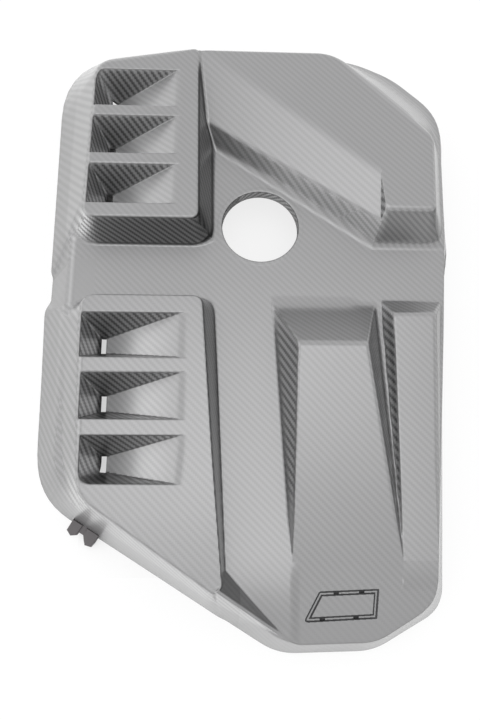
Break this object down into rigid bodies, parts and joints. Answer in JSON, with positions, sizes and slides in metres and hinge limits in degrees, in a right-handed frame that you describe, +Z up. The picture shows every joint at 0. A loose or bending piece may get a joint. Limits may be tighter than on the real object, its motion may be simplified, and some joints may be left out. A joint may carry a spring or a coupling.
{
  "type": "engine cover",
  "caption": "Moulded engine cover with raised pods, ramped scoops, a round oil filler opening, a bare badge seat and push-fit grommets underneath.",
  "frame": {"origin": "centre of the bounding box in plan, at the height of the rim's lower edge", "axes": "+Z up out of the cover's face, -Y towards the end with the badge seat, +X to the right when the badge seat is nearest"},
  "size_m": [0.4178, 0.6286, 0.09],
  "materials": {
    "shell": "satin clear coat over a grey carbon twill weave",
    "bracket": "moulded black plastic",
    "holder": "moulded black plastic",
    "grommet": "plain black rubber"
  },
  "bodies": {
    "root": {"cover_shell": "shell", "edge_bracket": "bracket", "left_holder": "holder", "right_holder": "holder", "front_holder": "holder", "rear_holder": "holder", "left_grommet": "grommet", "right_grommet": "grommet", "front_grommet": "grommet", "rear_grommet": "grommet"}
  },
  "joints": []
}
